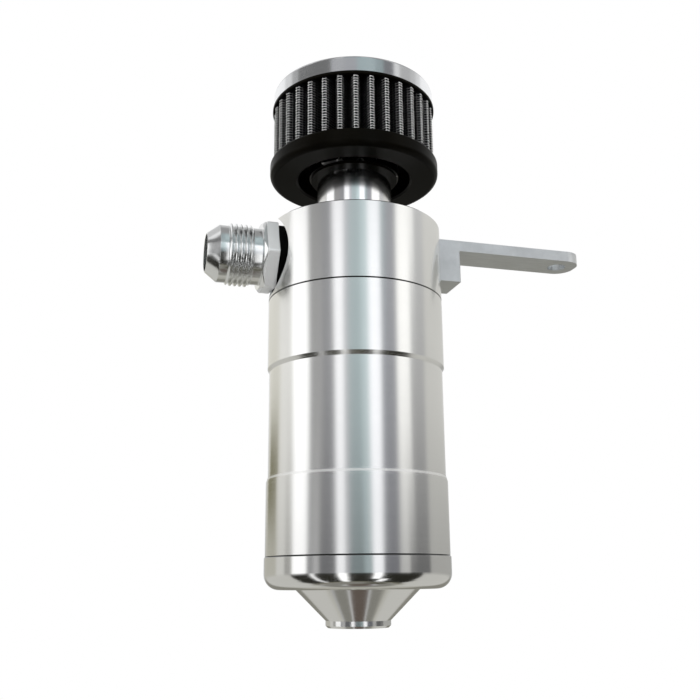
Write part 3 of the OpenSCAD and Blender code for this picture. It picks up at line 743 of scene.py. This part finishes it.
def build_floor(height, radius):
    bm = bmesh.new()
    bmesh.ops.create_circle(bm, cap_ends=True, segments=96, radius=radius,
                            matrix=Matrix.Translation((0, 0, height)))
    mesh = bpy.data.meshes.new("floor")
    bm.to_mesh(mesh)
    bm.free()
    floor = bpy.data.objects.new("floor", mesh)
    bpy.context.scene.collection.objects.link(floor)
    paint = Finish("floor_paint", Base_Color=(0.93, 0.93, 0.93, 1), Roughness=0.9)
    paint.shader.inputs["Specular IOR Level"].default_value = 0.0
    mesh.materials.append(paint.material)
    floor.visible_glossy = False
    return floor


build_world(soft=0.55)
floor = build_floor(height=-0.16, radius=0.75)
print("floor at", round(floor.data.vertices[0].co.z / MM), "mm")

# %% [markdown]
# Three soft lamps light what doesn't mirror: rubber, gauze and wire. Metal
# doesn't see them, because the cloths of the next cells stand in for them
# there.

# %% Lamps
def softbox(name, spot, size, power, aim=(0, 0, 0.11)):
    data = bpy.data.lights.new(name, "AREA")
    data.shape, data.size, data.energy = "SQUARE", size, power
    lamp = bpy.data.objects.new(name, data)
    bpy.context.scene.collection.objects.link(lamp)
    lamp.location = spot
    lamp.rotation_mode = "QUATERNION"
    lamp.rotation_quaternion = (Vector(aim) - Vector(spot)).to_track_quat("-Z", "Y")
    lamp.visible_glossy = False


softbox("key_lamp", (-0.9, -1.1, 1.0), 0.9, 14)
softbox("fill_lamp", (1.1, -0.8, 0.5), 0.9, 7)
softbox("top_lamp", (0.2, 0.3, 1.5), 1.2, 10)
print("three lamps")

# %% [markdown]
# Polished metal only looks like metal when it has something to mirror. So the
# can hangs inside a big round wall, seen by nothing but reflections and
# painted like a photographer's room: softboxes, windows, flags and walls. A
# row of it is a list of cloths, each with its tone and the bearing where it
# starts, counted in degrees to the right from the camera. A round can shows
# the room at twice the angle of its own surface, so a streak's place on the
# can tells where its cloth has to hang.

# %% Cloths for the reflections
WALL_RADIUS = 3.0
WALL_CENTRE = Vector((0, 0, 0.1))


def grey(level, warm=0.0):
    """A tone; warm above 0 is cream or olive, below 0 is bluish."""
    return (level * (1 + warm * 0.3), level * (1 + warm * 0.1), level * (1 - warm))


def tone_at(cloths, bearing, feather):
    """Colour at a bearing, each cloth blended with the next over the feather."""
    for k, (start, tone) in enumerate(cloths):
        end = cloths[k + 1][0] if k + 1 < len(cloths) else 999
        if start <= bearing < end:
            into = (bearing - start) / feather
            if into < 0.5 and k:
                before = Vector(cloths[k - 1][1])
                return before.lerp(Vector(tone), 0.5 + into)
            left = (end - bearing) / feather
            if left < 0.5:
                after = Vector(cloths[k + 1][1])
                return after.lerp(Vector(tone), 0.5 + left)
            return Vector(tone)
    return Vector(cloths[0][1])


def inside(value, low, high, edge=2.0):
    """1 inside a range, 0 outside, with soft edges."""
    return max(0.0, min(1.0, (value - low) / edge + 0.5, (high - value) / edge + 0.5))


print("wall radius:", WALL_RADIUS, "m")

# %% [markdown]
# The wall is a ball round the can: one mesh with a colour at each point, whose
# material only glows. It is made of strips one degree wide, and between two
# rows the colours are blended. One mesh is easier to paint than dozens of
# separate panels, and it leaves no gaps between them.

# %% The wall
def hang_wall(name, rows, spots, feather=3.0, step=1.0, blend=2.0):
    """One wall all round; rows are (elevation, cloths), blended from row to row.

    spots are single soft-edged patches: (bearings, elevations, tone).
    """
    levels = []
    for (low, under), (high, over) in zip(rows, rows[1:]):
        parts = max(1, round((high - low) / blend))
        levels += [(low + (high - low) * j / parts, under, over, j / parts)
                   for j in range(parts)]
    levels.append((rows[-1][0], rows[-1][1], rows[-1][1], 0.0))
    count = round(360 / step)
    points, tones, faces = [], [], []
    for i in range(count + 1):
        bearing = -180 + 360 * i / count
        a = math.radians(270 - CAMERA_BEARING + bearing)
        for height, under, over, share in levels:
            e = math.radians(height)
            points.append(WALL_CENTRE + WALL_RADIUS * Vector(
                (math.cos(a) * math.cos(e), math.sin(a) * math.cos(e), math.sin(e))))
            tone = tone_at(under, bearing, feather).lerp(tone_at(over, bearing, feather), share)
            for across, up, patch in spots:
                tone = tone.lerp(Vector(patch), inside(bearing, *across) * inside(height, *up))
            tones.append((*tone, 1.0))
    for i in range(count):
        for j in range(len(levels) - 1):
            a = i * len(levels) + j
            b = a + len(levels)
            faces.append((a, a + 1, b + 1, b))
    mesh = bpy.data.meshes.new(name)
    mesh.from_pydata(points, [], faces)
    paint = mesh.color_attributes.new("tone", "FLOAT_COLOR", "POINT")
    for i, tone in enumerate(tones):
        paint.data[i].color = tone
    wall = bpy.data.objects.new(name, mesh)
    bpy.context.scene.collection.objects.link(wall)
    glow = bpy.data.materials.new(name)
    glow.use_nodes = True
    tree = glow.node_tree
    tree.nodes.clear()
    colour = tree.nodes.new("ShaderNodeAttribute")
    colour.attribute_name = "tone"
    light = tree.nodes.new("ShaderNodeEmission")
    out = tree.nodes.new("ShaderNodeOutputMaterial")
    tree.links.new(colour.outputs["Color"], light.inputs["Color"])
    tree.links.new(light.outputs[0], out.inputs[0])
    mesh.materials.append(glow)
    wall.visible_camera = wall.visible_diffuse = wall.visible_shadow = False
    wall.visible_transmission = wall.visible_volume_scatter = False


print("wall ready to hang")

# %% [markdown]
# The cloths, row by row from the floor up. The same softboxes and windows go
# through most rows, but they are dimmer near the floor, and between them the
# wall gets darker there. That is why the lower half of the can looks darker
# than the lid. Below the floor's edge a black cloth with three lights gives
# the dark crescent on the rounded corner and the dashes on the upper bevel.
# The lowest rows are for the cone: brown earth between two thin pale lines.
# One dark olive curtain is short, so it is a spot of its own.

# %% The rows of cloths
def sky(level):
    """The cool tone of the far windows: less red, a little more blue."""
    return (level * 0.84, level, level * 1.03)


earth = (0.115, 0.092, 0.078)
pit = [(-180, earth)]
left_line = [(-180, earth), (-150, grey(0.6)), (-50, earth)]
right_line = [(-180, grey(0.22, 0.1)), (50, grey(0.5)), (150, grey(0.22, 0.1))]
mid = [(-180, grey(0.22, 0.1)), (20, grey(0.07, 0.3)), (75, grey(0.22, 0.1))]
outer_line = [(-180, grey(0.3, 0.1)), (-150, grey(0.42)), (-100, grey(0.3, 0.1))]
under = [
    (-180, grey(0.50, 0.08)),
    (-112, grey(0.16, 0.2)),
    (20, grey(0.05, 0.3)),
    (60, grey(0.16, 0.2)),
    (112, grey(0.50, 0.08)),
]
deep = [
    (-180, grey(0.42, 0.10)),
    (-150, grey(0.54, 0.05)),
    (-93, grey(0.02, 0.2)),
    (-61, grey(1.1)),
    (-55, grey(0.02, 0.2)),
    (-25, grey(1.4)),
    (-14, grey(0.02, 0.2)),
    (31, grey(1.3)),
    (42, grey(0.02, 0.2)),
    (90, grey(0.54, 0.05)),
    (150, grey(0.42, 0.10)),
]
low = [
    (-180, grey(0.23, 0.12)),             # dim olive room behind the can
    (-152, grey(0.54, 0.05)),
    (-87, grey(0.02, 0.2)),
    (-59, grey(1.1)),
    (-53, grey(0.02, 0.2)),
    (-24, grey(1.4)),
    (-12, grey(0.02, 0.2)),
    (19, grey(1.4)),
    (30, grey(0.02, 0.2)),
    (84, grey(0.54, 0.05)),
    (152, grey(0.23, 0.12)),
]
skirt = [
    (-164, grey(0.55)),
    (-157, grey(0.46, 0.10)),
    (-115, grey(0.60, 0.04)),
    (-98, grey(0.32, 0.05)),
    (-85, grey(1.2)),                     # large softbox, left
    (-63, grey(0.26, -0.02)),
    (-54, grey(0.46)),
    (-46, grey(0.15, -0.04)),
    (-25, grey(0.95, -0.02)),             # window, left of the camera
    (-14, grey(0.36, -0.04)),
    (-8, sky(0.22)),
    (8, sky(0.38)),
    (18, grey(0.98, -0.03)),              # window, right of the camera
    (31, grey(0.17, -0.08)),
    (51, grey(0.46, 0.02)),               # softbox, right
    (65, grey(0.13)),
    (97, grey(0.38, 0.04)),
    (161, grey(0.55)),
]
side = [
    (-164, grey(0.85)),                   # white backdrop behind the can
    (-157, grey(0.72, 0.08)),             # olive curtain
    (-115, grey(0.84, 0.03)),             # pale wall
    (-89, grey(1.35)),                    # large softbox, left
    (-61, grey(0.36)),                    # grey flag
    (-50, grey(0.42)),
    (-42, grey(0.32, -0.04)),             # dark flag
    (-27, grey(1.25, -0.02)),             # window, left of the camera
    (-15, grey(0.54, -0.04)),
    (-9, sky(0.52)),                      # the room behind the camera
    (7, sky(0.70)),
    (17, grey(1.3, -0.03)),               # window, right of the camera
    (33, grey(0.34, -0.08)),              # grey flag
    (54, grey(1.25, 0.02)),               # softbox, right
    (74, grey(0.46)),                     # grey wall
    (100, grey(0.62, 0.04)),              # pale warm wall
    (161, grey(0.85)),
]
upper = [
    (-164, grey(0.90)),
    (-140, grey(0.76, 0.03)),
    (-100, grey(0.72, 0.02)),
    (-92, grey(1.3)),
    (-64, grey(0.36)),
    (-44, grey(0.34, -0.04)),
    (-30, grey(1.3, -0.02)),
    (-14, grey(0.60, -0.06)),
    (-7, sky(0.60)),
    (7, sky(0.78)),
    (16, grey(1.35, -0.03)),
    (33, sky(0.50)),
    (40, grey(0.42, -0.06)),
    (55, grey(1.3, 0.02)),
    (84, grey(0.60)),
    (102, grey(0.66, 0.04)),
    (161, grey(0.90)),
]
loft = [
    (-180, grey(1.0)),
    (-114, grey(0.72)),
    (-97, grey(0.40)),
    (-84, grey(0.17)),                    # dark flag over the left softbox
    (-31, grey(0.42, -0.03)),
    (-12, grey(0.40, -0.04)),
    (6, sky(0.45)),
    (32, sky(0.37)),
    (44, grey(0.20, -0.05)),
    (60, grey(0.74)),                     # top of the right softbox
    (70, grey(0.46)),
    (90, grey(0.56)),
    (101, grey(0.74)),
    (112, grey(1.0)),
]
roof = [
    (-180, grey(0.60)),
    (-87, grey(0.90)),
    (-64, grey(0.30)),
    (-28, grey(0.70)),
    (-15, sky(0.38)),
    (14, sky(0.58)),
    (32, grey(0.28)),
    (55, grey(0.70)),
    (72, grey(0.36)),
    (100, grey(0.50)),
]
zenith = [(-180, grey(0.32))]
spots = [((-147, -119), (2.5, 9), (0.13, 0.12, 0.05))]    # dark olive curtain, left
hang_wall("cloths", [(-90, pit), (-83, pit), (-82.2, left_line), (-80.8, left_line),
                     (-79.5, right_line), (-78, right_line), (-77, mid), (-68, mid),
                     (-67, outer_line), (-65.5, outer_line), (-64, under), (-61, under),
                     (-59, deep), (-44, deep), (-38, low), (-11, low), (-4, skirt),
                     (0, skirt), (11, side), (18, side), (23, upper), (28, upper),
                     (29, loft), (38, loft), (43, roof), (60, roof), (76, zenith),
                     (90, zenith)], spots)
print("reflection wall hung")

# %% [markdown]
# Last, the end of the script.

# %% The end
print("scene built")
